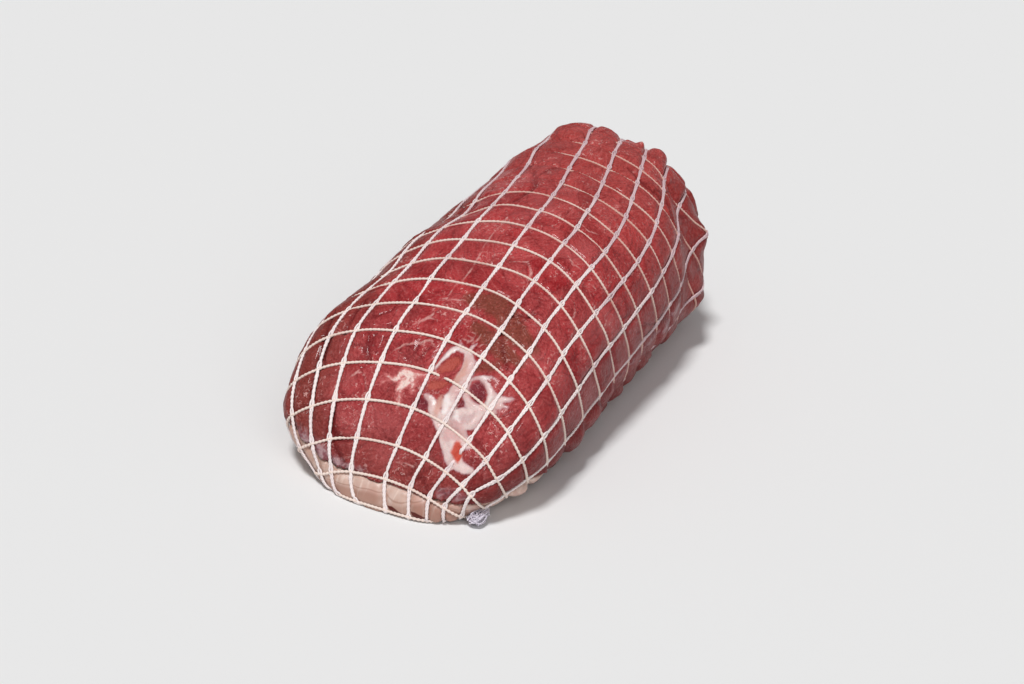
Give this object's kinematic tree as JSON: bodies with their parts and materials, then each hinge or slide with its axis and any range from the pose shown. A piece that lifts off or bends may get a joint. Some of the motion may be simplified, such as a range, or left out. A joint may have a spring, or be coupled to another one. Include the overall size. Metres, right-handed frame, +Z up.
{
  "type": "roast beef joint",
  "caption": "Rolled raw beef roasting joint with a fat cap along its underside, held in an elastic cotton netting.",
  "frame": {"origin": "middle of the footprint, on the surface the joint rests on (centre of the bounding box's bottom)", "axes": "+X along the joint from its rounded near end to its blunt far end, +Z up, +Y to the left seen from the near end looking along +X"},
  "size_m": [0.2417, 0.1031, 0.0777],
  "materials": {
    "raw_beef": "moist raw lean beef with a satin shine",
    "beef_fat": "waxy cream to pink beef fat, slightly moist",
    "net_cotton": "matt knitted cotton and elastic yarn, off-white, faintly stained pink"
  },
  "bodies": {
    "root": {"beef": "raw_beef", "fat_cap": "beef_fat", "netting": "net_cotton", "net_tail": "net_cotton"}
  },
  "joints": []
}
